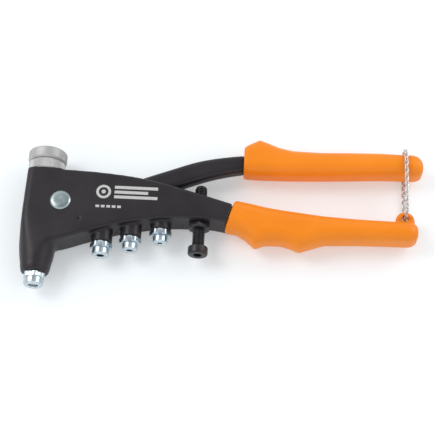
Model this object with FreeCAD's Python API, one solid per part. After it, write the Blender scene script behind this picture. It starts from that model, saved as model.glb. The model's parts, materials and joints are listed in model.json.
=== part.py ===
"""Hand riveter for threaded inserts, lying on its side.

Millimetres.  +Y runs back along the barrel from the nose to the spin knob,
+X runs from the barrel towards the ends of the two handles, and +Z is the
tool's own side, so z = 0 is its mid-plane.  The origin is the centre of the
fitted nosepiece's mouth.
"""
import FreeCAD
import Part
import math
import os

# --- overall sizes ---------------------------------------------------------
BODY_WIDTH = 22.0          # casting, across its two flat cheeks
CHEEK = 3.0                # wall of each cheek beside the lever slot
BARREL_CORNER_R = 4.0
BARREL_FLARE = 1.3         # how far the barrel's far wall leans out towards the nose
BARREL_REAR_Y = 79.0       # rear face of the barrel
GRIP_THICKNESS = 20.0      # both handle grips, across Z
TIP_LENGTH = 7.0           # length over which each grip's end is rounded off
TIP_ROUND = 4.0            # how much narrower its end face is, on each side
MOVING_TIP_TOP_ROUND = 8.0 # the same on the moving grip's outer edge
MOVING_GRIP_END_X = 248.0
FIXED_GRIP_END_X = 244.0

# --- lever and pivot -------------------------------------------------------
PIVOT_X = 13.0
PIVOT_Y = 55.7
PIVOT_PIN_R = 4.0
PIVOT_HEAD_R = 6.6
PIVOT_HEAD_HEIGHT = 1.1
LEVER_THICKNESS = 10.0
LEVER_HUB_R = 8.8
LEVER_WEB_R = 7.0          # hub between the fork plates, clear of the spindle
FORK_CLEARANCE = 0.4       # between the spindle and each fork plate
CHEEK_CLEARANCE = 0.3      # between the lever's hub and each cheek
FORK_TIP_R = 3.2
ROLLER_R = 2.5
ROLLER_PIN_R = 1.25
LEVER_GRIP_X = 130.0       # where the moving grip starts
CROSS_PIN_R = 1.2
CROSS_PIN_X = 25.4
CROSS_PIN_Y = 43.3
CROSS_PIN_SUNK = 1.0

# --- running gear in the barrel --------------------------------------------
SPINDLE_R = 5.5
SPINDLE_NECK_R = 3.6
SPINDLE_FRONT_Y = 26.5
SPINDLE_REAR_Y = 62.5
GROOVE_PLAY = 0.4          # each side of the rollers
SLOT_CLEARANCE = 0.7       # between the spindle and the far wall of the lever slot
BUSH_R = 7.5
BUSH_FRONT_Y = 15.0
BUSH_REAR_Y = 42.0
MANDREL_R = 3.0
MANDREL_TIP_Y = 1.2
MANDREL_HEAD_R = 4.2
MANDREL_HEAD_HEIGHT = 3.0
MANDREL_HEX = 4.0          # across flats
MANDREL_ENGAGED = 5.0      # length of its hexagon inside the knob's head
CAP_FLANGE = 2.5
CAP_PLUG = 3.0
RUNNING = 0.05             # radial clearance of a running fit
EASY = 0.1                 # radial clearance of a loose running fit
FACE_GAP = 0.1             # between faces of different bodies

# --- rear ring, knob and return spring -------------------------------------
RING_FLANGE_R = 12.0
RING_SLEEVE_R = 8.0
RING_FLANGE_LENGTH = 7.0
RING_SLEEVE_LENGTH = 12.0
SPRING_SPACE_R = 5.7
SPRING_SPACE_WALL = 1.2    # left between the spring space and the ring's flange
KNOB_R = 12.75
KNOB_GAP = 0.25
KNOB_LENGTH = 8.0
KNOB_STEM_R = 4.2
KNOB_STEM_PAST_SPACE = 1.8 # stem's length inside the spring space
KNOB_CHAMFER = 0.8
KNOB_END_WALL = 2.2
CIRCLIP_THICKNESS = 0.7
CIRCLIP_R = 5.4
CIRCLIP_SEAT_R = 3.7
SPRING_MEAN_R = 4.9
SPRING_WIRE_R = 0.5
WASHER_THICKNESS = 0.9

# --- nosepieces ------------------------------------------------------------
NOSE_HEX = 13.0            # across flats
NOSE_HEX_HEIGHT = 3.7
NOSE_FRONT_LENGTH = 4.7
NOSE_THREAD_R = 5.0
NOSE_THREAD_LENGTH = 6.0
BOSS_R = 6.9
BOSS_HOLE_DEPTH = 8.0
FITTED_TURN = 17.0         # degrees that the fitted hexagon is turned
# name, bore radius, front radius, X, Y of its front face
SPARES = [
    ("spare_nosepiece_m5", 2.6, 5.5, 40.7, 22.5),
    ("spare_nosepiece_m4", 2.1, 5.0, 59.2, 26.9),
    ("spare_nosepiece_m3", 1.6, 4.8, 78.3, 32.9),
]
FITTED_BORE_R = 3.1
FITTED_FRONT_R = 6.2

# --- stroke stop -----------------------------------------------------------
STOP_X = 103.0
STOP_R = 4.0
STOP_TIP_Y = 74.3
STOP_HEAD_R = 6.5
STOP_HEAD_HEIGHT = 5.5
STOP_HEAD_FRONT_Y = 26.0
STOP_HEX = 5.0
STOP_HEX_DEPTH = 2.8
NUT_HEX = 13.0
NUT_HEIGHT = 4.0
WEB_Y = 47.8               # flat underside that the locknut bears on
WEB_THICKNESS = 6.2
WEB_EDGE_R = 1.5           # rounding of the web's and cheeks' outlines

# --- handle chain ----------------------------------------------------------
LUG_FROM_END = 8.0         # from the fixed grip's tip
LUG_Y = 56.0
LUG_R = 6.2
LUG_THICKNESS = 6.0
LUG_FOOT = 8.0             # how far the lug runs down into the grip
LUG_HOLE_R = 2.2
LUG_HOLE_Y = 57.8
CHAIN_TOP_Y = 105.4
CHAIN_PLAY = 0.35          # between the chain and the flat sides of the grip
CHAIN_BEND_R = 8.0
CHAIN_LINKS = 46
LINK_WIRE_R = 0.34
LINK_INSIDE = 1.1          # inside width of a link
LINK_PLAY = 0.3            # inside length beyond the pitch

# --- steel cores inside the grips ------------------------------------------
CORE_HEIGHT = 9.0
CORE_THICKNESS = 8.0
CORE_FROM_TIP = 14.0       # where each core ends, from its grip's tip
CORE_ROOT = 2.0
FIXED_CORE_START_Y = 53.3
FIXED_CORE_END_Y = 48.0
MOVING_CORE_START_Y = 91.6
MOVING_CORE_END_Y = 95.8

# Fixed grip: its front face leans from (FIXED_GRIP_FRONT_X, lower edge).
FIXED_GRIP_FRONT_X = 119.5
FIXED_GRIP_FRONT_Y = 43.0
FIXED_GRIP_LEAN = 0.29     # X gained for each millimetre of Y

# Grip stations: percent of the grip's length from its front, upper edge Y, lower edge Y.
FIXED_GRIP = [
    (-2.0, 64.6, 43.6), (6.0, 64.0, 42.7), (10.8, 63.0, 39.0), (15.9, 61.7, 33.4),
    (21.3, 60.3, 36.0), (29.3, 58.9, 36.2), (34.5, 58.2, 34.4), (38.8, 57.6, 32.2),
    (44.6, 56.8, 34.8), (51.8, 55.9, 38.0), (68.7, 54.4, 39.6), (88.8, 53.8, 40.2),
]
MOVING_GRIP = [
    (0.0, 103.4, 83.7), (2.5, 105.4, 83.2), (8.5, 109.3, 83.0),
    (14.4, 106.6, 83.1), (19.5, 104.1, 83.2), (27.1, 102.2, 83.4), (42.4, 101.8, 84.2),
    (59.3, 102.5, 85.5), (76.3, 102.9, 87.0), (88.1, 102.6, 87.4),
]

OUT = "parts"
Y_AXIS = FreeCAD.Vector(0, 1, 0)
Z_AXIS = FreeCAD.Vector(0, 0, 1)


def point(x, y, z=0.0):
    return FreeCAD.Vector(x, y, z)


def rod(radius, y0, y1, x=0.0):
    """Round bar along the barrel's direction."""
    return Part.makeCylinder(radius, y1 - y0, point(x, y0), Y_AXIS)


def tube(outer, inner, y0, y1, x=0.0):
    return rod(outer, y0, y1, x).cut(rod(inner, y0 - 1, y1 + 1, x))


def pin(radius, x, y, z0, z1):
    """Round bar across the tool."""
    return Part.makeCylinder(radius, z1 - z0, point(x, y, z0), Z_AXIS)


def hexagon(across_flats, y0, y1, x=0.0, turn=0.0):
    """Hexagonal bar along the barrel's direction."""
    radius = across_flats / math.sqrt(3)
    corners = []
    for i in range(7):
        angle = math.radians(60 * i + turn)
        corners.append(point(x + radius * math.cos(angle), y0, radius * math.sin(angle)))
    return Part.Face(Part.makePolygon(corners)).extrude(point(0, y1 - y0))


def plate(edges, half):
    """Flat outline in XY made a plate from -half to +half in Z."""
    face = Part.Face(Part.Wire(edges))
    face.translate(point(0, 0, -half))
    return face.extrude(point(0, 0, 2 * half))


def polygon_plate(corners, half):
    wire = Part.makePolygon([point(*c) for c in corners + corners[:1]])
    return plate(wire.Edges, half)


def curve(corners):
    """Smooth edge through the given XY points."""
    spline = Part.BSplineCurve()
    spline.interpolate([point(*c) for c in corners])
    return spline.toShape()


def line(a, b):
    return Part.makeLine(point(*a), point(*b))


def soften(solid, radius, wanted):
    """Fillet the edges that the test picks out."""
    edges = [e for e in solid.Edges if wanted(e)]
    return solid.makeFillet(radius, edges)


def rounded_rectangle(half_u, half_v, corner):
    """Edges of a rounded rectangle in XY about the origin."""
    edges = []
    for i, (su, sv) in enumerate([(1, 1), (-1, 1), (-1, -1), (1, -1)]):
        cu = su * (half_u - corner)
        cv = sv * (half_v - corner)
        start = 90 * i
        arc = [point(cu + corner * math.cos(math.radians(start + a)),
                     cv + corner * math.sin(math.radians(start + a))) for a in (0, 45, 90)]
        edges.append(Part.Arc(*arc).toShape())
    ordered = []
    for i in range(4):
        ordered.append(edges[i])
        a = edges[i].Vertexes[-1].Point
        b = edges[(i + 1) % 4].Vertexes[0].Point
        ordered.append(Part.makeLine(a, b))
    return ordered


def grip_section(x, top, bottom, half_z, corner):
    """Rounded section of a grip, across X."""
    half_y = (top - bottom) / 2
    wire = Part.Wire(rounded_rectangle(half_y, half_z, min(corner, half_y * 0.9, half_z * 0.9)))
    wire.rotate(point(0, 0), Z_AXIS, 90)
    wire.rotate(point(0, 0), Y_AXIS, 90)
    wire.translate(point(x, (top + bottom) / 2))
    return wire


def grip_body(stations, front_x, end_x, top_round):
    """Sleeve outside, from its stations and a tip that is rounded off in steps."""
    half_z = GRIP_THICKNESS / 2
    corner = half_z * 0.8
    wires = []
    for percent, top, bottom in stations:
        last_x = front_x + (end_x - front_x) * percent / 100
        wires.append(grip_section(last_x, top, bottom, half_z, corner))
    for share in (0.0, 0.25, 0.5, 0.75, 0.9, 1.0):
        fall = 1 - math.sqrt(1 - share * share)
        x = end_x - TIP_LENGTH * (1 - share)
        wires.append(grip_section(x, top - top_round * fall, bottom + TIP_ROUND * fall,
                                  half_z - TIP_ROUND * fall, corner))
    return Part.makeLoft(wires, True, True)


def core(start, end):
    """Flat steel core of a handle inside its grip, rooted a little way into the bar before it."""
    half = CORE_HEIGHT / 2
    slope = (end[1] - start[1]) / (end[0] - start[0])
    x = start[0] - CORE_ROOT
    y = start[1] - CORE_ROOT * slope
    return polygon_plate([(x, y - half), (end[0], end[1] - half),
                          (end[0], end[1] + half), (x, y + half)], CORE_THICKNESS / 2)


def fixed_front_x(y):
    return FIXED_GRIP_FRONT_X + FIXED_GRIP_LEAN * (y - FIXED_GRIP_FRONT_Y)


def in_front_of_fixed_grip():
    """Everything on the barrel's side of the fixed grip's leaning front face."""
    low = -20.0
    high = 130.0
    return polygon_plate([(-40, low), (fixed_front_x(low), low), (fixed_front_x(high), high),
                          (-40, high)], GRIP_THICKNESS * 2)


def lug_x():
    return FIXED_GRIP_END_X - LUG_FROM_END


def boss_face_y(front_y):
    """Seat of a nosepiece whose front face is at front_y."""
    return front_y + NOSE_FRONT_LENGTH + NOSE_HEX_HEIGHT + FACE_GAP


def nose_face_y():
    """Front face of the barrel, which the fitted nosepiece seats on."""
    return boss_face_y(0.0)


def ring_rear_y():
    return BARREL_REAR_Y + RING_FLANGE_LENGTH


def spring_space_rear_y():
    return BARREL_REAR_Y - SPRING_SPACE_WALL


def knob_stem_front_y():
    return spring_space_rear_y() - KNOB_STEM_PAST_SPACE


def fork_plate_in():
    """Inner face of each fork plate, from z = 0."""
    return SPINDLE_R + FORK_CLEARANCE


def slot_half():
    return BODY_WIDTH / 2 - CHEEK


def fork_plate_out():
    return slot_half() - CHEEK_CLEARANCE


# --- frame -----------------------------------------------------------------

def casting_plate():
    """The two cheeks and the web below them, before the slot is cut."""
    under = [(4.5, 20.5), (6.4, 24.0), (9.8, 27.2), (16.9, 30.0), (26.6, 33.6), (36.4, 37.0),
             (46.2, 40.2), (59.0, 43.4), (70.5, 45.6), (82.7, 47.2), (94.0, WEB_Y)]
    rear = [(12.5, 78.3), (32.0, 77.7), (48.0, 76.5), (64.7, 74.4), (78.0, 71.7),
            (92.4, 68.0), (107.0, 63.9), (126.0, 58.4)]
    edges = [
        line((0.0, 24.0), under[0]),
        curve(under),
        line(under[-1], (112.0, WEB_Y)),
        line((112.0, WEB_Y), (126.0, WEB_Y - 2.4)),
        line((126.0, WEB_Y - 2.4), rear[-1]),
        curve(rear[::-1]),
        line(rear[0], (12.0, BARREL_REAR_Y)),
        line((12.0, BARREL_REAR_Y), (0.0, BARREL_REAR_Y)),
        line((0.0, BARREL_REAR_Y), (0.0, 24.0)),
    ]
    half = BODY_WIDTH / 2
    body = plate(edges, half)

    def outer_rim(edge):
        box = edge.BoundBox
        on_face = box.ZLength < 1e-6 and abs(abs(box.ZMin) - half) < 1e-6
        return on_face and box.XMax > 12.4 or on_face and box.XLength > 80

    return soften(body, WEB_EDGE_R, outer_rim)


def casting_barrel():
    """Square barrel with rounded corners, turned down to a round nose at its front."""
    half = BODY_WIDTH / 2
    front = nose_face_y()
    square = polygon_plate([(-half - BARREL_FLARE, front), (half, front),
                            (half, BARREL_REAR_Y), (-half, BARREL_REAR_Y)], half)
    square = soften(square, BARREL_CORNER_R, lambda e: e.BoundBox.YLength > BARREL_REAR_Y - front - 1)
    nose = [(8.7, front), (9.6, 12.0), (10.7, 17.0), (11.5, 22.0), (half + 1.3, 28.0),
            (half + 2.4, 37.0), (half + 4.0, 48.0), (half + 6.0, 60.0)]
    far = BARREL_REAR_Y + 1
    profile = [
        line((0.0, nose_face_y()), nose[0]),
        curve(nose),
        line(nose[-1], (nose[-1][0], far)),
        line((nose[-1][0], far), (0.0, far)),
        line((0.0, far), (0.0, nose_face_y())),
    ]
    turned = Part.Face(Part.Wire(profile)).revolve(point(0, 0), Y_AXIS, 360)
    return square.common(turned)


def lever_slot():
    """Space for the lever, its hub and its fork, open at the rear."""
    top = BARREL_REAR_Y + 10
    floor = WEB_Y + WEB_THICKNESS
    far = -SPINDLE_R - SLOT_CLEARANCE
    corners = [(far, 42.0), (28.0, 42.0), (46.0, 46.5), (59.0, 49.6), (78.0, 52.6),
               (95.0, floor), (114.0, floor), (114.0, top), (11.8, top), (11.8, 66.0), (far, 66.0)]
    return polygon_plate(corners, slot_half())


def frame_casting():
    body = casting_plate().fuse(casting_barrel())
    for _, _, _, x, front_y in SPARES:
        body = body.fuse(rod(BOSS_R, boss_face_y(front_y), boss_face_y(front_y) + BOSS_HOLE_DEPTH + 2, x))
    body = body.common(in_front_of_fixed_grip())
    body = body.fuse(fixed_core())
    cuts = [
        rod(NOSE_THREAD_R + RUNNING, nose_face_y() - 1, BUSH_FRONT_Y),
        rod(BUSH_R, BUSH_FRONT_Y, BUSH_REAR_Y + 2),
        rod(RING_SLEEVE_R, BARREL_REAR_Y - RING_SLEEVE_LENGTH - 2, BARREL_REAR_Y + 1),
        lever_slot(),
        pin(PIVOT_PIN_R, PIVOT_X, PIVOT_Y, -BODY_WIDTH, BODY_WIDTH),
        pin(CROSS_PIN_R, CROSS_PIN_X, CROSS_PIN_Y, -BODY_WIDTH, BODY_WIDTH),
        rod(STOP_R + RUNNING, WEB_Y - 5, WEB_Y + WEB_THICKNESS + 5, STOP_X),
    ]
    for _, _, _, x, front_y in SPARES:
        face = boss_face_y(front_y)
        cuts.append(rod(NOSE_THREAD_R + RUNNING, face - 1, face + BOSS_HOLE_DEPTH, x))
    for cut in cuts:
        body = body.cut(cut)
    return body.removeSplitter()


def fixed_core():
    return core((fixed_front_x(FIXED_CORE_START_Y), FIXED_CORE_START_Y),
                (FIXED_GRIP_END_X - CORE_FROM_TIP, FIXED_CORE_END_Y))


def fixed_grip():
    sleeve = grip_body(FIXED_GRIP, FIXED_GRIP_FRONT_X, FIXED_GRIP_END_X, TIP_ROUND)
    sleeve = sleeve.cut(in_front_of_fixed_grip())
    half = LUG_THICKNESS / 2
    ear = pin(LUG_R, lug_x(), LUG_Y, -half, half)
    foot = Part.makeBox(2 * LUG_R, LUG_FOOT, LUG_THICKNESS, point(lug_x() - LUG_R, LUG_Y - LUG_FOOT, -half))
    sleeve = sleeve.fuse(ear).fuse(foot)
    sleeve = sleeve.cut(pin(LUG_HOLE_R, lug_x(), LUG_HOLE_Y, -half - 1, half + 1))
    return sleeve.cut(fixed_core())


def pivot_pin():
    half = BODY_WIDTH / 2
    head = pin(PIVOT_HEAD_R, PIVOT_X, PIVOT_Y, half, half + PIVOT_HEAD_HEIGHT)
    head = soften(head, 0.4, lambda e: e.BoundBox.ZMin > half + PIVOT_HEAD_HEIGHT - 1e-3)
    return head.fuse(pin(PIVOT_PIN_R, PIVOT_X, PIVOT_Y, -half - PIVOT_HEAD_HEIGHT, half)).removeSplitter()


def pivot_washer():
    half = BODY_WIDTH / 2
    disc = pin(PIVOT_HEAD_R, PIVOT_X, PIVOT_Y, -half - PIVOT_HEAD_HEIGHT, -half)
    return disc.cut(pin(PIVOT_PIN_R, PIVOT_X, PIVOT_Y, -2 * half, 0))


def cross_pin():
    half = BODY_WIDTH / 2 - CROSS_PIN_SUNK
    return pin(CROSS_PIN_R, CROSS_PIN_X, CROSS_PIN_Y, -half, half)


def front_bush():
    return tube(BUSH_R, SPINDLE_R + RUNNING, BUSH_FRONT_Y, BUSH_REAR_Y)


def rear_guide_ring():
    flange = rod(RING_FLANGE_R, BARREL_REAR_Y, ring_rear_y())
    sleeve = rod(RING_SLEEVE_R, BARREL_REAR_Y - RING_SLEEVE_LENGTH, BARREL_REAR_Y)
    ring = flange.fuse(sleeve)
    ring = ring.cut(rod(KNOB_STEM_R + RUNNING, 0, ring_rear_y() + 1))
    return ring.cut(rod(SPRING_SPACE_R, 0, spring_space_rear_y())).removeSplitter()


def circlip_y():
    """Front face of the knob's circlip."""
    return spring_space_rear_y() - CIRCLIP_THICKNESS - FACE_GAP


def spring_seat_washer():
    rear = circlip_y() - FACE_GAP
    return tube(CIRCLIP_R, KNOB_STEM_R + EASY, rear - WASHER_THICKNESS, rear)


def return_spring():
    """Outer shape of the coil spring that pushes the spindle forward."""
    rear = circlip_y() - FACE_GAP - WASHER_THICKNESS - FACE_GAP
    return tube(SPRING_MEAN_R + SPRING_WIRE_R, SPRING_MEAN_R - SPRING_WIRE_R,
                SPINDLE_REAR_Y + FACE_GAP, rear)


# --- lever -----------------------------------------------------------------

def lever_bar():
    upper = [(15.0, 64.0), (24.0, 64.0), (40.0, 67.5), (52.0, 72.2), (65.0, 78.0), (75.3, 82.3),
             (85.5, 86.4), (95.8, 90.5), (106.2, 93.6), (116.7, 95.8), (LEVER_GRIP_X, 97.8)]
    lower = [(15.0, 47.2), (30.0, 50.4), (50.0, 57.6), (80.0, 69.0), (94.2, 74.6),
             (108.3, 80.1), (118.1, 83.0), (LEVER_GRIP_X, 85.6)]
    edges = [
        curve(upper),
        line(upper[-1], lower[-1]),
        curve(lower[::-1]),
        line(lower[0], upper[0]),
    ]
    half = LEVER_THICKNESS / 2
    bar = plate(edges, half)

    def long_edge(edge):
        box = edge.BoundBox
        return box.ZLength < 1e-6 and box.XLength > 60

    root_half = fork_plate_out()
    root = plate(edges, root_half).common(Part.makeBox(20, 40, 40, point(14, 40, -20)))
    return soften(bar, 3.4, long_edge).fuse(root)


def fork_plates():
    outer = fork_plate_out()
    arm = polygon_plate([(PIVOT_X, PIVOT_Y + LEVER_HUB_R), (0, PIVOT_Y + FORK_TIP_R),
                         (0, PIVOT_Y - FORK_TIP_R), (PIVOT_X, PIVOT_Y - LEVER_HUB_R)], outer)
    shape = arm.fuse(pin(FORK_TIP_R, 0, PIVOT_Y, -outer, outer))
    shape = shape.fuse(pin(LEVER_HUB_R, PIVOT_X, PIVOT_Y, -outer, outer))
    gap = Part.makeBox(40, 40, 2 * fork_plate_in(), point(-20, PIVOT_Y - 20, -fork_plate_in()))
    return shape.cut(gap)


def lever_forging():
    outer = fork_plate_out()
    body = fork_plates()
    body = body.fuse(pin(LEVER_WEB_R, PIVOT_X, PIVOT_Y, -outer, outer))
    body = body.fuse(lever_bar())
    body = body.fuse(moving_core())
    body = body.cut(pin(PIVOT_PIN_R + RUNNING, PIVOT_X, PIVOT_Y, -outer - 1, outer + 1))
    body = body.cut(pin(ROLLER_PIN_R, 0, PIVOT_Y, -outer - 1, outer + 1))
    return body.removeSplitter()


def moving_core():
    return core((LEVER_GRIP_X, MOVING_CORE_START_Y), (MOVING_GRIP_END_X - CORE_FROM_TIP, MOVING_CORE_END_Y))


def moving_grip():
    sleeve = grip_body(MOVING_GRIP, LEVER_GRIP_X, MOVING_GRIP_END_X, MOVING_TIP_TOP_ROUND)
    return sleeve.cut(moving_core())


def pair_across(make):
    """A piece on the +Z side and its mirror on the -Z side."""
    upper = make()
    return Part.Compound([upper, upper.mirror(point(0, 0), Z_AXIS)])


def roller_inner_z():
    return SPINDLE_NECK_R + 0.2


def fork_roller():
    z0 = roller_inner_z()
    z1 = fork_plate_in() - FACE_GAP
    return pin(ROLLER_R, 0, PIVOT_Y, z0, z1).cut(pin(ROLLER_PIN_R, 0, PIVOT_Y, 0, 20))


def roller_pin():
    return pin(ROLLER_PIN_R, 0, PIVOT_Y, roller_inner_z(), fork_plate_out())


# --- spindle and mandrel ---------------------------------------------------

def groove_front():
    return PIVOT_Y - ROLLER_R - GROOVE_PLAY


def groove_rear():
    return PIVOT_Y + ROLLER_R + GROOVE_PLAY


def mandrel_head_y():
    return SPINDLE_FRONT_Y + CAP_PLUG + FACE_GAP


def draw_spindle():
    body = rod(SPINDLE_R, SPINDLE_FRONT_Y, groove_front())
    body = body.fuse(rod(SPINDLE_NECK_R, groove_front(), SPINDLE_REAR_Y))
    body = body.cut(rod(MANDREL_HEX / math.sqrt(3) + EASY, 0, SPINDLE_REAR_Y + 1))
    counterbore = rod(MANDREL_HEAD_R + EASY, SPINDLE_FRONT_Y - 1,
                      mandrel_head_y() + MANDREL_HEAD_HEIGHT + FACE_GAP)
    return body.cut(counterbore).removeSplitter()


def mandrel_cap():
    flange = rod(SPINDLE_R, SPINDLE_FRONT_Y - CAP_FLANGE, SPINDLE_FRONT_Y)
    plug = rod(MANDREL_HEAD_R + EASY, SPINDLE_FRONT_Y, SPINDLE_FRONT_Y + CAP_PLUG)
    return flange.fuse(plug).cut(rod(MANDREL_R + EASY, 0, SPINDLE_REAR_Y)).removeSplitter()


def thrust_collar():
    return tube(SPINDLE_R, SPINDLE_NECK_R, groove_rear(), SPINDLE_REAR_Y)


def threaded_mandrel():
    head = mandrel_head_y()
    body = rod(MANDREL_R, MANDREL_TIP_Y, head)
    body = body.fuse(rod(MANDREL_HEAD_R, head, head + MANDREL_HEAD_HEIGHT))
    body = body.fuse(hexagon(MANDREL_HEX, head + MANDREL_HEAD_HEIGHT, ring_rear_y() + MANDREL_ENGAGED))
    return body.removeSplitter()


# --- knob ------------------------------------------------------------------

def spin_knob():
    front = ring_rear_y() + KNOB_GAP
    rear = front + KNOB_LENGTH
    head = rod(KNOB_R, front, rear)
    head = head.makeChamfer(KNOB_CHAMFER, [e for e in head.Edges if e.BoundBox.YLength < 1e-3])
    body = head.fuse(rod(KNOB_STEM_R, knob_stem_front_y(), front))
    groove = tube(KNOB_STEM_R + 1, CIRCLIP_SEAT_R, circlip_y(), circlip_y() + CIRCLIP_THICKNESS)
    body = body.cut(groove)
    socket = hexagon(MANDREL_HEX + 2 * EASY, knob_stem_front_y() - 1, rear - KNOB_END_WALL)
    return body.cut(socket).removeSplitter()


def knob_circlip():
    ring = tube(CIRCLIP_R, CIRCLIP_SEAT_R, circlip_y(), circlip_y() + CIRCLIP_THICKNESS)
    gap = Part.makeBox(8, 4, 1.6, point(0, circlip_y() - 1, -0.8))
    return ring.cut(gap)


# --- nosepieces and stroke stop --------------------------------------------

def nosepiece(bore_r, front_r, x, front_y, turn):
    hex_y = front_y + NOSE_FRONT_LENGTH
    seat = hex_y + NOSE_HEX_HEIGHT
    body = rod(front_r, front_y, hex_y, x)
    body = body.fuse(hexagon(NOSE_HEX, hex_y, seat, x, turn))
    body = body.fuse(rod(NOSE_THREAD_R, seat, seat + NOSE_THREAD_LENGTH, x))
    return body.cut(rod(bore_r, front_y - 1, seat + NOSE_THREAD_LENGTH + 1, x)).removeSplitter()


def stop_screw():
    head_rear = STOP_HEAD_FRONT_Y + STOP_HEAD_HEIGHT
    head = rod(STOP_HEAD_R, STOP_HEAD_FRONT_Y, head_rear, STOP_X)
    head = soften(head, 0.8, lambda e: e.BoundBox.YMax < STOP_HEAD_FRONT_Y + 1e-3)
    shank = rod(STOP_R, head_rear, STOP_TIP_Y, STOP_X)
    shank = shank.makeChamfer(1.0, [e for e in shank.Edges if e.BoundBox.YMin > STOP_TIP_Y - 1e-3])
    socket = hexagon(STOP_HEX, STOP_HEAD_FRONT_Y - 1, STOP_HEAD_FRONT_Y + STOP_HEX_DEPTH, STOP_X)
    return head.fuse(shank).cut(socket).removeSplitter()


def stop_locknut():
    rear = WEB_Y - FACE_GAP
    nut = hexagon(NUT_HEX, rear - NUT_HEIGHT, rear, STOP_X, 30)
    return nut.cut(rod(STOP_R + RUNNING, 0, rear + 1, STOP_X))


# --- chain -----------------------------------------------------------------

def chain_link(pitch):
    """One oval link in XY, long in X, about the origin."""
    bend = LINK_INSIDE / 2 + LINK_WIRE_R
    straight = pitch + LINK_PLAY - LINK_INSIDE
    parts = []
    for side in (1, -1):
        arc = Part.makeTorus(bend, LINK_WIRE_R, point(0, 0), Z_AXIS, -180, 180, 180)
        arc.rotate(point(0, 0), Z_AXIS, -90 * side)
        arc.translate(point(side * straight / 2, 0))
        parts.append(arc)
        parts.append(Part.makeCylinder(LINK_WIRE_R, straight, point(-straight / 2, side * bend),
                                       point(1, 0)))
    return parts[0].fuse(parts[1:]).removeSplitter()


def chain_half_width():
    """From z = 0 to the chain's middle line beside the grip."""
    return GRIP_THICKNESS / 2 + CHAIN_PLAY + LINK_INSIDE / 2 + 2 * LINK_WIRE_R


def chain_place(distance):
    """Point and direction at a distance round the loop, which lies across X."""
    flat_y = CHAIN_TOP_Y - LUG_HOLE_Y - 2 * CHAIN_BEND_R
    flat_z = 2 * (chain_half_width() - CHAIN_BEND_R)
    quarter = math.pi * CHAIN_BEND_R / 2
    spans = [flat_z, quarter, flat_y, quarter, flat_z, quarter, flat_y, quarter]
    y = LUG_HOLE_Y
    z = -flat_z / 2
    heading = 0.0
    left = distance % sum(spans)
    for i, span in enumerate(spans):
        step = min(left, span)
        if i % 2 == 0:
            y += step * math.sin(heading)
            z += step * math.cos(heading)
        else:
            centre_y = y + CHAIN_BEND_R * math.cos(heading)
            centre_z = z - CHAIN_BEND_R * math.sin(heading)
            heading += step / CHAIN_BEND_R
            y = centre_y - CHAIN_BEND_R * math.cos(heading)
            z = centre_z + CHAIN_BEND_R * math.sin(heading)
        left -= step
        if left <= 0:
            break
    direction = FreeCAD.Vector(0, math.sin(heading), math.cos(heading))
    return FreeCAD.Vector(lug_x(), y, z), direction


def chain_length():
    flat = 2 * (CHAIN_TOP_Y - LUG_HOLE_Y) + 4 * chain_half_width()
    return flat - 8 * CHAIN_BEND_R + 2 * math.pi * CHAIN_BEND_R


def chain_links():
    """The links that lie under the grip, which the tool rests on, and all the others."""
    pitch = chain_length() / CHAIN_LINKS
    link = chain_link(pitch)
    under = []
    others = []
    for i in range(CHAIN_LINKS):
        place, along = chain_place(i * pitch)
        across = FreeCAD.Vector(1, 0, 0)
        if i % 2:
            across = along.cross(across)
        turned = FreeCAD.Rotation(along, across, along.cross(across), "XYZ")
        copy = link.copy()
        copy.Placement = FreeCAD.Placement(place, turned)
        if place.z < FACE_GAP - chain_half_width():
            under.append(copy)
        else:
            others.append(copy)
    return Part.Compound(under), Part.Compound(others)


# --- write every piece -----------------------------------------------------

def main():
    os.makedirs(OUT, exist_ok=True)
    links_under_grip, other_links = chain_links()
    pieces = {
        "frame_casting": frame_casting(),
        "fixed_grip": fixed_grip(),
        "front_bush": front_bush(),
        "rear_guide_ring": rear_guide_ring(),
        "pivot_pin": pivot_pin(),
        "pivot_washer": pivot_washer(),
        "cross_pin": cross_pin(),
        "spring_seat_washer": spring_seat_washer(),
        "return_spring": return_spring(),
        "lever_forging": lever_forging(),
        "moving_grip": moving_grip(),
        "fork_rollers": pair_across(fork_roller),
        "roller_pins": pair_across(roller_pin),
        "draw_spindle": draw_spindle(),
        "mandrel_cap": mandrel_cap(),
        "thrust_collar": thrust_collar(),
        "threaded_mandrel": threaded_mandrel(),
        "spin_knob": spin_knob(),
        "knob_circlip": knob_circlip(),
        "fitted_nosepiece_m6": nosepiece(FITTED_BORE_R, FITTED_FRONT_R, 0.0, 0.0, FITTED_TURN),
        "stop_screw": stop_screw(),
        "stop_locknut": stop_locknut(),
        "chain_links": other_links,
        "chain_links_under": links_under_grip,
    }
    for name, bore_r, front_r, x, front_y in SPARES:
        pieces[name] = nosepiece(bore_r, front_r, x, front_y, 0.0)
    for name, shape in pieces.items():
        shape.exportStep(OUT + "/" + name + ".step")
        print(name, len(shape.Solids), round(shape.Volume, 1), shape.isValid())


main()
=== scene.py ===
"""Looks of the hand riveter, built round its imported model.

Sizes and places of the pieces are written in millimetres, which mm() turns into metres.
"""
import bmesh
import bpy
import json
import math
from mathutils import Matrix, Quaternion, Vector


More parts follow.
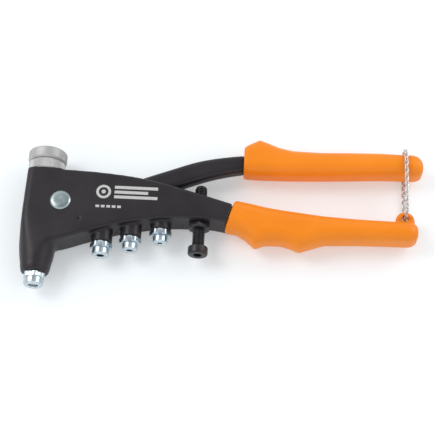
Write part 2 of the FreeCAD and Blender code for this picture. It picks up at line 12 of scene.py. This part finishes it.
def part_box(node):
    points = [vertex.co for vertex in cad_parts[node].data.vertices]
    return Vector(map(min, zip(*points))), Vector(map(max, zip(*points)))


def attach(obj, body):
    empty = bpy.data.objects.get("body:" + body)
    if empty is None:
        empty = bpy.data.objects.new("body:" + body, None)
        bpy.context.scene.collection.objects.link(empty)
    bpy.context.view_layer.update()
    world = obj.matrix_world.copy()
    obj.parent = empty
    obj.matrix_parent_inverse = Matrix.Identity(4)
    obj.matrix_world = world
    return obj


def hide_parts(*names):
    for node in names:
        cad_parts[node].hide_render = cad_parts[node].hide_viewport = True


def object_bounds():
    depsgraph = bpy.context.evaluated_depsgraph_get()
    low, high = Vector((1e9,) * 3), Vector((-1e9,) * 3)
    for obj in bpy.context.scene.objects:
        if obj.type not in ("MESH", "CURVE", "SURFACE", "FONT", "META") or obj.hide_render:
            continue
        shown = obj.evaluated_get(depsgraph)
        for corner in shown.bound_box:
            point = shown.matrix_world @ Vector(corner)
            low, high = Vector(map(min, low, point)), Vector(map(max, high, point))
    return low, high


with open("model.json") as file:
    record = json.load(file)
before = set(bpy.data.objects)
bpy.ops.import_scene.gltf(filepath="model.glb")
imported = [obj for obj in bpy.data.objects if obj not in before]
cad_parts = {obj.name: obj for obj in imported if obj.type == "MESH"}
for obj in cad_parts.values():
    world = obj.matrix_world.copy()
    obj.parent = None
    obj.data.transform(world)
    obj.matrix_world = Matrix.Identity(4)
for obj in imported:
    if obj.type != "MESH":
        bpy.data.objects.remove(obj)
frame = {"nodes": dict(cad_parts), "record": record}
cad_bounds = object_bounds()

MM = 0.001
TURN = 2 * math.pi
SHARP = 9.0                # a limit radius beyond a small hexagon's corners
# The printed mark, in millimetres.
MARK_BAR = 28.0
INK_MIDDLE_Z = 11.0        # the cheek's face
INK_DEPTH = 0.14
# Rounds of smoothing at an area whose border fades out, and how many times it shrinks.
FADE_ROUNDS = 5
FADE_STEPS = 12
# Where the casting is smoothed further, in millimetres: beyond a radius about the barrel,
# between two heights along it, and on the near side of a slanting line.  The height and
# the line draw back while the area fades out.
NOSE_OUTSIDE = 9.6
NOSE_START = 11.0
NOSE_END = 50.0
NOSE_DRAWN_BACK = 26.0
SLANT = 0.35
SLANT_X = 24.0
SLANT_DRAWN_BACK = 9.0
# How far short of the spring's box the coil ends, clear of the collar.
COIL_GAP = 0.5
# The handle chain: a loop across X, in millimetres.
CHAIN_X = 236.0
CHAIN_LUG = 57.8
CHAIN_TOP = 105.4
CHAIN_SIDE = 11.45
CHAIN_BEND = 8.0
CHAIN_LEAN = 1.05          # of the strand under the grip, towards the grip's end
CHAIN_LINKS = 46
LINK_WIRE = 0.46
LINK_INSIDE = 1.3
LINK_PLAY = 0.3
LINK_POINTS = 24           # round a link
WIRE_POINTS = 8            # round its wire
# Studio brightness at heights between the horizon (0) and straight up (1).
SKY_BANDS = [(0.25, 0.60), (0.45, 0.90), (0.70, 0.82), (0.88, 0.34)]
SKY_HORIZON = (0.20, 0.20, 0.21, 1)
SKY_TOP = (0.24, 0.25, 0.27, 1)
SKY_STRENGTH = 1.32
FLOOR_GLOW = 0.28


# --- building blocks -------------------------------------------------------

def mm(*values):
    return Vector([v * MM for v in values])


def add_piece(name, mesh_source, body, slot, stands_for=(), crease=35, finish=None):
    """Makes an object of a bmesh or a mesh that rides on a body, with its slot's finish or its own."""
    if isinstance(mesh_source, bmesh.types.BMesh):
        mesh = bpy.data.meshes.new(name)
        mesh_source.to_mesh(mesh)
        mesh_source.free()
    else:
        mesh = mesh_source
        mesh.name = name
    piece = bpy.data.objects.new(name, mesh)
    bpy.context.scene.collection.objects.link(piece)
    mesh.materials.clear()
    mesh.materials.append(finish or FINISH[slot])
    mesh.shade_smooth()
    mesh.set_sharp_from_angle(angle=math.radians(crease))
    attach(piece, body)
    if stands_for:
        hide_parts(*stands_for)
    return piece


def close_skin(bm):
    bmesh.ops.remove_doubles(bm, verts=bm.verts, dist=1e-6)
    bmesh.ops.recalc_face_normals(bm, faces=bm.faces)
    return bm


def ring_skin(bm, rings, segments=72, loop=False):
    """A skin through rings.  Each ring is a function that gives a point for an angle."""
    angle_of = bm.verts.layers.float.get("angle") or bm.verts.layers.float.new("angle")
    circle = bmesh.ops.create_circle(bm, radius=1.0, segments=segments, cap_ends=False)["verts"]
    for vert in circle:
        vert[angle_of] = math.atan2(vert.co.y, vert.co.x) % TURN
    edges = list({e for v in circle for e in v.link_edges})
    for vert in circle:
        vert.co = rings[0](vert[angle_of])
    if not loop:
        bmesh.ops.edgeloop_fill(bm, edges=edges)
    for ring in rings[1:]:
        grown = bmesh.ops.extrude_edge_only(bm, edges=edges)["geom"]
        edges = [g for g in grown if isinstance(g, bmesh.types.BMEdge)]
        for vert in [g for g in grown if isinstance(g, bmesh.types.BMVert)]:
            vert.co = ring(vert[angle_of])
    if not loop:
        bmesh.ops.edgeloop_fill(bm, edges=edges)
    return close_skin(bm)


def round_at(y, radius, x=0.0):
    """Ring across the barrel's direction, in millimetres."""
    return lambda a: mm(x + radius * math.cos(a), y, radius * math.sin(a))


def hex_at(y, across_flats, limit, x=0.0, turn=0.0):
    """Hexagonal ring whose corners are turned down to the limit radius."""
    def place(a):
        face_angle = (a - math.radians(turn)) % (TURN / 6) - TURN / 12
        radius = min(across_flats / 2 / math.cos(face_angle), limit)
        return mm(x + radius * math.cos(a), y, radius * math.sin(a))
    return place


def screw_thread(bm, x, y0, y1, crest, pitch):
    """Helical ridge from y0 to y1, on a core that it hides."""
    steps = 28
    root = crest - 0.6 * pitch
    outline = [(root, 0.0), (crest, 0.4), (crest, 0.55), (root, 0.95), (root, 1.0)]
    verts = [bm.verts.new(mm(x + r, y0 + share * pitch, 0)) for r, share in outline]
    edges = [bm.edges.new(pair) for pair in zip(verts, verts[1:])]
    turns = max(1, int((y1 - y0) / pitch) - 1)
    bmesh.ops.spin(bm, geom=verts + edges, cent=mm(x, 0, 0), axis=(0, 1, 0),
                   dvec=mm(0, pitch / steps, 0), angle=TURN * turns, steps=steps * turns)
    return close_skin(bm)


def soft_copy(node, voxel, rounds, blend=None):
    """The node's shape as one even skin, with every edge a little rounded.

    blend, when given, picks the points that are smoothed further.  It is asked again
    for each share of the way through, so that its area can shrink and fade out.
    """
    source = bmesh.new()
    source.from_mesh(frame["nodes"][node].data)
    bmesh.ops.remove_doubles(source, verts=source.verts, dist=1e-6)
    mesh = bpy.data.meshes.new(node + "_skin")
    source.to_mesh(mesh)
    source.free()
    carrier = bpy.data.objects.new(node + "_skin", mesh)
    bpy.context.scene.collection.objects.link(carrier)
    remesh = carrier.modifiers.new("even", "REMESH")
    remesh.mode = "VOXEL"
    remesh.voxel_size = voxel
    graph = bpy.context.evaluated_depsgraph_get()
    even = bpy.data.meshes.new_from_object(carrier.evaluated_get(graph))
    bpy.data.objects.remove(carrier)
    skin = bmesh.new()
    skin.from_mesh(even)
    smooth_all(skin, skin.verts, rounds)
    if blend:
        for step in range(FADE_STEPS):
            area = [v for v in skin.verts if blend(v.co, step / FADE_STEPS)]
            smooth_all(skin, area, FADE_ROUNDS)
    skin.to_mesh(even)
    skin.free()
    return even


def smooth_all(skin, verts, rounds):
    for _ in range(rounds):
        bmesh.ops.smooth_vert(skin, verts=verts, factor=0.5,
                              use_axis_x=True, use_axis_y=True, use_axis_z=True)


# --- finishes --------------------------------------------------------------

def new_finish(name, colour, metallic, roughness):
    """A principled material with its tree, shader and object coordinates."""
    material = bpy.data.materials.new(name)
    material.use_nodes = True
    tree = material.node_tree
    shader = tree.nodes["Principled BSDF"]
    shader.inputs["Base Color"].default_value = (*colour, 1)
    shader.inputs["Metallic"].default_value = metallic
    shader.inputs["Roughness"].default_value = roughness
    place = tree.nodes.new("ShaderNodeTexCoord")
    return material, tree, shader, place.outputs["Object"]


def add_noise(tree, place, scale, detail=3.0):
    noise = tree.nodes.new("ShaderNodeTexNoise")
    noise.inputs["Scale"].default_value = scale
    noise.inputs["Detail"].default_value = detail
    tree.links.new(place, noise.inputs["Vector"])
    return noise.outputs["Fac"]


def spread(tree, source, low, high, socket):
    """Maps a noise's middle range onto low to high."""
    ranged = tree.nodes.new("ShaderNodeMapRange")
    ranged.inputs["From Min"].default_value = 0.3
    ranged.inputs["From Max"].default_value = 0.7
    ranged.inputs["To Min"].default_value = low
    ranged.inputs["To Max"].default_value = high
    tree.links.new(source, ranged.inputs["Value"])
    tree.links.new(ranged.outputs["Result"], socket)


def tint(tree, source, dark, light, socket):
    """Colour that wanders between dark and light."""
    ramp = tree.nodes.new("ShaderNodeValToRGB")
    ramp.color_ramp.elements[0].position = 0.32
    ramp.color_ramp.elements[0].color = (*dark, 1)
    ramp.color_ramp.elements[1].position = 0.68
    ramp.color_ramp.elements[1].color = (*light, 1)
    tree.links.new(source, ramp.inputs["Fac"])
    tree.links.new(ramp.outputs["Color"], socket)


def grain(tree, source, depth, shader, strength):
    """Relief of a given depth in metres."""
    bump = tree.nodes.new("ShaderNodeBump")
    bump.inputs["Strength"].default_value = strength
    bump.inputs["Distance"].default_value = depth
    tree.links.new(source, bump.inputs["Height"])
    tree.links.new(bump.outputs["Normal"], shader.inputs["Normal"])


def black_enamel(name):
    material, tree, shader, place = new_finish(name, (0.014, 0.012, 0.013), metallic=0.0, roughness=0.38)
    broad = add_noise(tree, place, 55, 4)
    fine = add_noise(tree, place, 1400, 2)
    tint(tree, broad, (0.016, 0.0135, 0.0162), (0.022, 0.0182, 0.0217), shader.inputs["Base Color"])
    spread(tree, broad, 0.34, 0.44, shader.inputs["Roughness"])
    grain(tree, fine, 0.00004, shader, strength=0.35)
    shader.inputs["Specular IOR Level"].default_value = 0.34
    return material


def orange_moulding():
    material, tree, shader, place = new_finish("orange_moulding", (0.89, 0.234, 0.004),
                                               metallic=0.0, roughness=0.42)
    broad = add_noise(tree, place, 30, 3)
    fine = add_noise(tree, place, 2200, 2)
    tint(tree, broad, (0.865, 0.238, 0.003), (0.915, 0.258, 0.005), shader.inputs["Base Color"])
    spread(tree, broad, 0.38, 0.47, shader.inputs["Roughness"])
    grain(tree, fine, 0.00003, shader, strength=0.4)
    shader.inputs["Specular IOR Level"].default_value = 0.36
    shader.inputs["Subsurface Weight"].default_value = 0.06
    shader.inputs["Subsurface Radius"].default_value = (0.004, 0.0015, 0.0005)
    return material


def turned_metal(name, dark, light, rough, scale=900, depth=0.00002, metallic=1.0):
    material, tree, shader, place = new_finish(name, light, metallic, rough)
    streaks = add_noise(tree, place, scale, 3)
    broad = add_noise(tree, place, 120, 3)
    tint(tree, broad, dark, light, shader.inputs["Base Color"])
    spread(tree, streaks, rough * 0.8, rough * 1.25, shader.inputs["Roughness"])
    grain(tree, streaks, depth, shader, strength=0.4)
    return material


def black_oxide():
    material, tree, shader, place = new_finish("black_oxide", (0.022, 0.020, 0.022),
                                               metallic=0.3, roughness=0.34)
    broad = add_noise(tree, place, 260, 4)
    tint(tree, broad, (0.014, 0.012, 0.014), (0.028, 0.025, 0.028), shader.inputs["Base Color"])
    spread(tree, broad, 0.28, 0.42, shader.inputs["Roughness"])
    grain(tree, add_noise(tree, place, 3000, 2), 0.00002, shader, strength=0.3)
    return material


def printed_ink():
    material, tree, shader, place = new_finish("printed_ink", (0.62, 0.62, 0.62),
                                               metallic=0.0, roughness=0.55)
    worn = add_noise(tree, place, 900, 3)
    tint(tree, worn, (0.44, 0.44, 0.43), (0.56, 0.56, 0.55), shader.inputs["Base Color"])
    grain(tree, worn, 0.00002, shader, strength=0.3)
    return material


FINISH = {
    "black_paint": black_enamel("black_enamel_casting"),
    "black_paint_lever": black_enamel("black_enamel_forging"),
    "orange_grip": orange_moulding(),
    "bronze": turned_metal("bronze_bush", (0.45, 0.30, 0.13), (0.58, 0.40, 0.19), 0.4),
    "knurled_steel": turned_metal("knurled_alloy", (0.46, 0.46, 0.45), (0.58, 0.58, 0.57), 0.48, 1800,
                                  metallic=0.5),
    "plated_steel": turned_metal("plated_pin", (0.35, 0.42, 0.43), (0.39, 0.46, 0.47), 0.3, 260,
                                 depth=0.000002),
    "zinc_plate": turned_metal("bright_zinc", (0.50, 0.58, 0.63), (0.64, 0.72, 0.76), 0.28, 700),
    "black_oxide": black_oxide(),
    "spring_steel": turned_metal("oiled_spring", (0.24, 0.24, 0.25), (0.34, 0.34, 0.35), 0.3),
    "tool_steel": turned_metal("ground_steel", (0.34, 0.34, 0.35), (0.46, 0.46, 0.47), 0.28),
    "chain_plate": turned_metal("nickel_chain", (0.60, 0.60, 0.60), (0.74, 0.74, 0.73), 0.22),
}
INK = printed_ink()


# --- frame and lever -------------------------------------------------------

def cast_frame():
    def round_the_nose(at, share):
        """The barrel's outside where it runs into the round nose, and the web's root beside it."""
        x = at.x / MM
        y = at.y / MM
        outside = math.hypot(x, at.z / MM) > NOSE_OUTSIDE
        along = NOSE_START < y < NOSE_END - NOSE_DRAWN_BACK * share
        return outside and along and x + SLANT * y < SLANT_X - SLANT_DRAWN_BACK * share

    skin = soft_copy("frame_casting", voxel=0.00073, rounds=5, blend=round_the_nose)
    add_piece("cast_frame", skin, "frame", "black_paint", ["frame_casting"], crease=60)


def forged_lever():
    skin = soft_copy("lever_forging", voxel=0.0006, rounds=6)
    add_piece("forged_lever", skin, "lever", "black_paint_lever", ["lever_forging"], crease=60)


def ink_block(bm, x, y, width, height):
    """Flat printed block whose lower left corner is at x, y."""
    for v in bmesh.ops.create_cube(bm, size=1.0)["verts"]:
        v.co = mm(x + (v.co.x + 0.5) * width, y + (v.co.y + 0.5) * height,
                  INK_MIDDLE_Z + v.co.z * INK_DEPTH)


def printed_mark():
    """A ring with a dot, three plain bars beside it, and a row of dashes, printed on the upper cheek."""
    bm = bmesh.new()
    low = INK_MIDDLE_Z - INK_DEPTH / 2
    high = INK_MIDDLE_Z + INK_DEPTH / 2
    x = 40.4
    y = 63.0

    def ring(radius, z):
        return lambda a: mm(x + radius * math.cos(a), y + radius * math.sin(a), z)

    ring_skin(bm, [ring(4.8, low), ring(4.8, high), ring(3.1, high), ring(3.1, low)],
              segments=64, loop=True)
    ring_skin(bm, [ring(1.4, low), ring(1.4, high)], segments=32)
    for row, width in enumerate([MARK_BAR, MARK_BAR * 0.78, MARK_BAR]):
        ink_block(bm, 47.4, 58.6 + 3.4 * row, width, 2.1)
    for column in range(5):
        ink_block(bm, 36.0 + 3.5 * column, 51.8, 2.4, 1.7)
    bmesh.ops.recalc_face_normals(bm, faces=bm.faces)
    add_piece("printed_mark", bm, "frame", "black_paint", finish=INK)


# --- grips -----------------------------------------------------------------

def moulded_grips():
    for node, body in [("fixed_grip", "frame"), ("moving_grip", "lever")]:
        skin = soft_copy(node, voxel=0.0007, rounds=7)
        add_piece("soft_" + node, skin, body, "orange_grip", [node], crease=70)


# --- turned and hexagonal pieces -------------------------------------------

def nosepiece(name, node, bore, front, turn=0.0):
    """Nosepiece with a round front, a hexagon and a plain shank, given its bore's and front's radius."""
    low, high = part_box(node)
    x = (low.x + high.x) / 2 / MM
    y = low.y / MM
    shoulder = y + 4.7
    seat = y + 8.4
    rear = high.y / MM
    flats = 13.0
    corner = 7.2
    shank = 5.0
    rings = [
        round_at(rear, bore, x), round_at(y + 0.5, bore, x), round_at(y, bore + 0.45, x),
        round_at(y, front - 1.0, x), round_at(y + 0.25, front - 0.45, x), round_at(y + 0.9, front, x),
        round_at(shoulder - 0.2, front, x), round_at(shoulder, front - 0.2, x),
        round_at(shoulder, flats / 2 - 0.15, x),
        hex_at(shoulder + 0.5, flats, corner, x, turn), hex_at(seat - 0.5, flats, corner, x, turn),
        round_at(seat, flats / 2 - 0.1, x), round_at(seat, shank, x), round_at(rear - 0.6, shank, x),
        round_at(rear, shank - 0.6, x), round_at(rear, bore, x),
    ]
    bm = bmesh.new()
    ring_skin(bm, rings, segments=96, loop=True)
    body = "nosepiece_" + node[-2:]
    add_piece(name, bm, body, "zinc_plate", [node], crease=28)


def nosepieces():
    nosepiece("fitted_nosepiece", "fitted_nosepiece_m6", bore=3.1, front=6.2, turn=17.0)
    for size, bore, front in [("m5", 2.6, 5.5), ("m4", 2.1, 5.0), ("m3", 1.6, 4.8)]:
        nosepiece("spare_nose_" + size, "spare_nosepiece_" + size, bore, front)


def stop_screw():
    """Socket head screw: its socket, domed head, core and thread."""
    low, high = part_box("stop_screw")
    x = (low.x + high.x) / 2 / MM
    front = low.y / MM
    tip = high.y / MM
    head_rear = front + 5.5
    socket = 5.0
    head = 6.48
    core = 3.35
    rings = [hex_at(front + 2.8, socket, SHARP, x), hex_at(front + 0.35, socket, SHARP, x),
             round_at(front, 3.15, x), round_at(front, 5.3, x), round_at(front + 0.2, 5.9, x),
             round_at(front + 0.6, 6.3, x), round_at(front + 1.2, head, x),
             round_at(head_rear - 0.5, head, x), round_at(head_rear - 0.1, 6.2, x),
             round_at(head_rear, 5.8, x), round_at(head_rear, core, x), round_at(tip - 0.5, core, x),
             round_at(tip, 2.9, x)]
    bm = bmesh.new()
    ring_skin(bm, rings, segments=72)
    screw_thread(bm, x, head_rear - 0.6, tip, crest=3.98, pitch=1.25)
    add_piece("stop_screw_threaded", bm, "stop", "black_oxide", ["stop_screw"], crease=28)


def locknut():
    low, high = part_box("stop_locknut")
    stop_low, stop_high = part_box("stop_screw")
    x = (stop_low.x + stop_high.x) / 2 / MM
    front = low.y / MM
    rear = high.y / MM
    hole = 4.05
    face = 6.2
    flats = 13.0
    corner = 7.45
    rings = [round_at(rear, hole, x), round_at(front + 0.4, hole, x), round_at(front, 4.5, x),
             round_at(front, face, x), hex_at(front + 0.65, flats, corner, x, turn=30),
             hex_at(rear - 0.65, flats, corner, x, turn=30), round_at(rear, face, x),
             round_at(rear, hole, x)]
    bm = bmesh.new()
    ring_skin(bm, rings, segments=96, loop=True)
    add_piece("locknut_chamfered", bm, "locknut", "black_oxide", ["stop_locknut"], crease=28)


def knurl_at(y, radius, depth, count, shift=0):
    """Ring of a knurled band, on which every other point is sunk.  An odd shift sinks the others."""
    def place(a):
        column = round(a / TURN * count)
        r = radius - depth * ((column + shift) % 2)
        return mm(r * math.cos(a), y, r * math.sin(a))
    return place


def knob():
    """Spin knob with its stem, a band of diamond knurls and a dished end."""
    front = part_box("rear_guide_ring")[1].y / MM + 0.25
    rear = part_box("spin_knob")[1].y / MM
    stem = 4.2
    stem_front = front - 10.2
    count = 128
    rows = 10
    first = front + 1.25
    last = rear - 1.2
    rings = [round_at(stem_front, 2.5), round_at(stem_front, stem), round_at(front, stem),
             round_at(front, 11.3), round_at(front + 0.1, 11.7), round_at(front + 0.95, 12.55),
             round_at(front + 1.1, 12.6)]
    for row in range(rows + 1):
        y = first + (last - first) * row / rows
        rings.append(knurl_at(y, radius=12.72, depth=0.4, count=count, shift=row))
    rings += [round_at(rear - 1.1, 12.5), round_at(rear - 0.5, 12.2), round_at(rear - 0.1, 11.6),
              round_at(rear, 11.0), round_at(rear, 5.2), round_at(rear - 0.5, 4.8),
              round_at(rear - 0.8, 1.0)]
    bm = bmesh.new()
    ring_skin(bm, rings, segments=count)
    add_piece("knurled_knob", bm, "knob", "knurled_steel", ["spin_knob"], crease=22)


def guide_ring():
    """Ring with a sleeve in the casting and a flange with straight knurls."""
    low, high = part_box("rear_guide_ring")
    start = low.y / MM
    flange = 79.0
    end = high.y / MM
    sleeve = 8.0
    bore = 4.25
    count = 132
    rings = [round_at(end, bore), round_at(start, 5.7), round_at(start, sleeve),
             round_at(flange, sleeve), round_at(flange, 11.2), round_at(flange + 0.3, 11.5)]
    for y in (flange + 0.5, flange + 0.5 + (end - flange - 1.0)):
        rings.append(knurl_at(y, radius=12.0, depth=0.42, count=count))
    rings += [round_at(end - 0.3, 11.5), round_at(end, 11.2), round_at(end, bore)]
    bm = bmesh.new()
    ring_skin(bm, rings, segments=count, loop=True)
    add_piece("knurled_guide_ring", bm, "frame", "knurled_steel", ["rear_guide_ring"], crease=22)


def pivot_head():
    """Pivot pin with a chamfered foot and a bevelled head that is a little dished."""
    low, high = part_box("pivot_pin")
    centre = (low + high) / 2
    top = high.z / MM
    foot = low.z / MM
    x = centre.x / MM
    y = centre.y / MM
    shank = 3.95
    head = 6.6
    under_head = top - 1.1
    rings = []
    for z, radius in [(foot, 3.4), (foot + 0.5, shank), (under_head, shank), (under_head, head),
                      (top - 0.85, head), (top - 0.1, 5.75), (top, 5.5), (top, 3.0), (top - 0.02, 0.6)]:
        rings.append(lambda a, z=z, r=radius: mm(x + r * math.cos(a), y + r * math.sin(a), z))
    bm = bmesh.new()
    ring_skin(bm, rings, segments=80)
    add_piece("pivot_pin_head", bm, "frame", "plated_steel", ["pivot_pin"], crease=25)


def mandrel():
    """Threaded rod with a round collar and a hexagonal tail."""
    low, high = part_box("threaded_mandrel")
    tip = low.y / MM
    rear = high.y / MM
    collar = 29.6
    collar_rear = collar + 3
    core = 2.45
    collar_r = 4.2
    tail = 4.0
    rings = [round_at(tip, 2.0), round_at(tip + 0.6, core), round_at(collar, core),
             round_at(collar, collar_r), round_at(collar_rear, collar_r),
             hex_at(collar_rear, tail, SHARP), hex_at(rear - 0.4, tail, SHARP), round_at(rear, 1.6)]
    bm = bmesh.new()
    ring_skin(bm, rings, segments=48)
    screw_thread(bm, 0.0, tip + 0.3, 26.0, crest=2.97, pitch=1.0)
    add_piece("mandrel_threaded", bm, "mandrel", "tool_steel", ["threaded_mandrel"], crease=28)


def spring_coil():
    low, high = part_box("return_spring")
    front = low.y / MM + COIL_GAP
    rear = high.y / MM
    coil = 4.9
    wire = 0.5
    turns = 7
    steps = 30
    pitch = (rear - front - 2 * wire) / turns
    bm = bmesh.new()
    circle = bmesh.ops.create_circle(bm, radius=wire * MM, segments=10)["verts"]
    bmesh.ops.translate(bm, verts=circle, vec=mm(coil, front + wire, 0))
    edges = list(bm.edges)
    bmesh.ops.spin(bm, geom=list(circle) + edges, cent=(0, 0, 0), axis=(0, 1, 0),
                   dvec=mm(0, pitch / steps, 0), angle=TURN * turns, steps=steps * turns)
    bmesh.ops.holes_fill(bm, edges=[e for e in bm.edges if e.is_boundary])
    close_skin(bm)
    add_piece("return_coil", bm, "frame", "spring_steel", ["return_spring"], crease=60)


def chain_line(distance):
    """Point of the chain's middle line at a distance round its loop."""
    arc = CHAIN_BEND * TURN / 4
    spans = [2 * (CHAIN_SIDE - CHAIN_BEND), arc, CHAIN_TOP - CHAIN_LUG - 2 * CHAIN_BEND, arc] * 2
    place = Vector((CHAIN_X, CHAIN_LUG, CHAIN_BEND - CHAIN_SIDE))
    heading = 0.0
    left = distance % sum(spans)
    for i, span in enumerate(spans):
        step = min(left, span)
        left -= step
        ahead = Vector((0, math.sin(heading), math.cos(heading)))
        inwards = Vector((0, math.cos(heading), -math.sin(heading)))
        if i % 2:
            angle = step / CHAIN_BEND
            place += CHAIN_BEND * (ahead * math.sin(angle) + inwards * (1 - math.cos(angle)))
            heading += angle
        else:
            place += ahead * step
    place.x += CHAIN_LEAN * max(0.0, -place.z / CHAIN_SIDE) ** 2
    return place


def link_ring(middle, along, across, half_straight, turn):
    """One line of points round a link, on its wire's surface at an angle round the wire."""
    bend = LINK_INSIDE / 2 + LINK_WIRE

    def place(a):
        a += TURN / LINK_POINTS / 2
        spoke = along * math.cos(a) + across * math.sin(a)
        centre = middle + along * math.copysign(half_straight, math.cos(a)) + spoke * bend
        outwards = math.cos(turn) * spoke + math.sin(turn) * along.cross(across)
        return MM * (centre + LINK_WIRE * outwards)
    return place


def chain():
    """Oval wire links, each turned a quarter from the last, and all askew to the grip."""
    loop = 2 * (CHAIN_TOP - CHAIN_LUG) + 4 * CHAIN_SIDE - 8 * CHAIN_BEND + TURN * CHAIN_BEND
    pitch = loop / CHAIN_LINKS
    half_straight = (pitch + LINK_PLAY - LINK_INSIDE) / 2
    near = 0.1
    bm = bmesh.new()
    for i in range(CHAIN_LINKS):
        middle = chain_line(i * pitch)
        along = (chain_line(i * pitch + near) - chain_line(i * pitch - near)).normalized()
        across = Vector((1, 0, 0)) - along * along.x
        across = Quaternion(along, math.radians(45 + 90 * (i % 2))) @ across.normalized()
        rings = [link_ring(middle, along, across, half_straight, TURN * k / WIRE_POINTS)
                 for k in range(WIRE_POINTS + 1)]
        ring_skin(bm, rings, segments=LINK_POINTS, loop=True)
    add_piece("handle_chain", bm, "chain", "chain_plate", ["chain_links", "chain_links_under"], crease=60)


def finish_cad_nodes():
    """Gives every CAD piece that stays its own finish."""
    slot_of = {s["node"]: s["material_slot"] for s in frame["record"]["subparts"]}
    for name, node in frame["nodes"].items():
        node.data.materials.clear()
        node.data.materials.append(FINISH[slot_of[name]])


# --- stage, light and camera -----------------------------------------------

def pale_floor():
    """Large plain floor just under the tool."""
    lowest = cad_bounds[0][2]
    bm = bmesh.new()
    bmesh.ops.create_grid(bm, x_segments=1, y_segments=1, size=3.0)
    bmesh.ops.translate(bm, verts=bm.verts, vec=(0.1, 0.05, lowest - 0.0002))
    mesh = bpy.data.meshes.new("floor")
    bm.to_mesh(mesh)
    bm.free()
    floor = bpy.data.objects.new("floor", mesh)
    bpy.context.scene.collection.objects.link(floor)
    material, tree, shader, place = new_finish("pale_floor", (0.70, 0.75, 0.77),
                                               metallic=0.0, roughness=0.9)
    tint(tree, add_noise(tree, place, 4), (0.69, 0.74, 0.76), (0.71, 0.76, 0.78),
         shader.inputs["Base Color"])
    shader.inputs["Emission Color"].default_value = (1, 1, 1, 1)
    shader.inputs["Emission Strength"].default_value = FLOOR_GLOW
    mesh.materials.append(material)


def studio_sky():
    """Soft light from all round, in bands of brightness by height."""
    world = bpy.data.worlds.new("studio")
    world.use_nodes = True
    tree = world.node_tree
    direction = tree.nodes.new("ShaderNodeTexCoord")
    split = tree.nodes.new("ShaderNodeSeparateXYZ")
    tree.links.new(direction.outputs["Generated"], split.inputs["Vector"])
    ramp = tree.nodes.new("ShaderNodeValToRGB")
    bands = ramp.color_ramp.elements
    bands[0].color = SKY_HORIZON
    bands[1].color = SKY_TOP
    for height, level in SKY_BANDS:
        band = bands.new(height)
        band.color = (level, level, level * 1.02, 1)
    tree.links.new(split.outputs["Z"], ramp.inputs["Fac"])
    background = tree.nodes["Background"]
    tree.links.new(ramp.outputs["Color"], background.inputs["Color"])
    background.inputs["Strength"].default_value = SKY_STRENGTH
    bpy.context.scene.world = world
    bpy.context.scene.view_settings.view_transform = "Standard"


def area_light(name, place, aim, size, power):
    lamp = bpy.data.lights.new(name, "AREA")
    lamp.shape = "SQUARE"
    lamp.size = size
    lamp.energy = power
    holder = bpy.data.objects.new(name, lamp)
    holder.location = place
    holder.rotation_euler = (Vector(aim) - Vector(place)).to_track_quat("-Z", "Y").to_euler()
    bpy.context.scene.collection.objects.link(holder)


def lights():
    middle = (0.11, 0.05, 0.0)
    area_light("key", (-0.62, 0.25, 0.95), middle, size=0.5, power=4)
    area_light("side_fill", (0.60, 0.30, 0.32), middle, size=0.3, power=0.7)


def camera():
    """Long lens above the tool, leaning back along the barrel and a little rolled."""
    tilt = math.radians(24.2)
    roll = math.radians(2.9)
    distance = 0.789
    aim = mm(114.5, 53.3, 0)
    back = Vector((-math.sin(roll), math.cos(roll), 0))
    right = Vector((math.cos(roll), math.sin(roll), 0))
    view = back * math.sin(tilt) - Vector((0, 0, math.cos(tilt)))
    up = right.cross(view)
    lens = bpy.data.cameras.new("camera")
    lens.lens = 100.5
    lens.sensor_width = 36
    lens.clip_start = 0.01
    holder = bpy.data.objects.new("camera", lens)
    turned = Matrix((right, up, -view)).transposed().to_4x4()
    holder.matrix_world = Matrix.Translation(aim - view * distance) @ turned
    bpy.context.scene.collection.objects.link(holder)
    bpy.context.scene.camera = holder


camera()
pale_floor()
studio_sky()
lights()
finish_cad_nodes()
chain()
cast_frame()
forged_lever()
printed_mark()
moulded_grips()
nosepieces()
stop_screw()
locknut()
knob()
guide_ring()
pivot_head()
mandrel()
spring_coil()
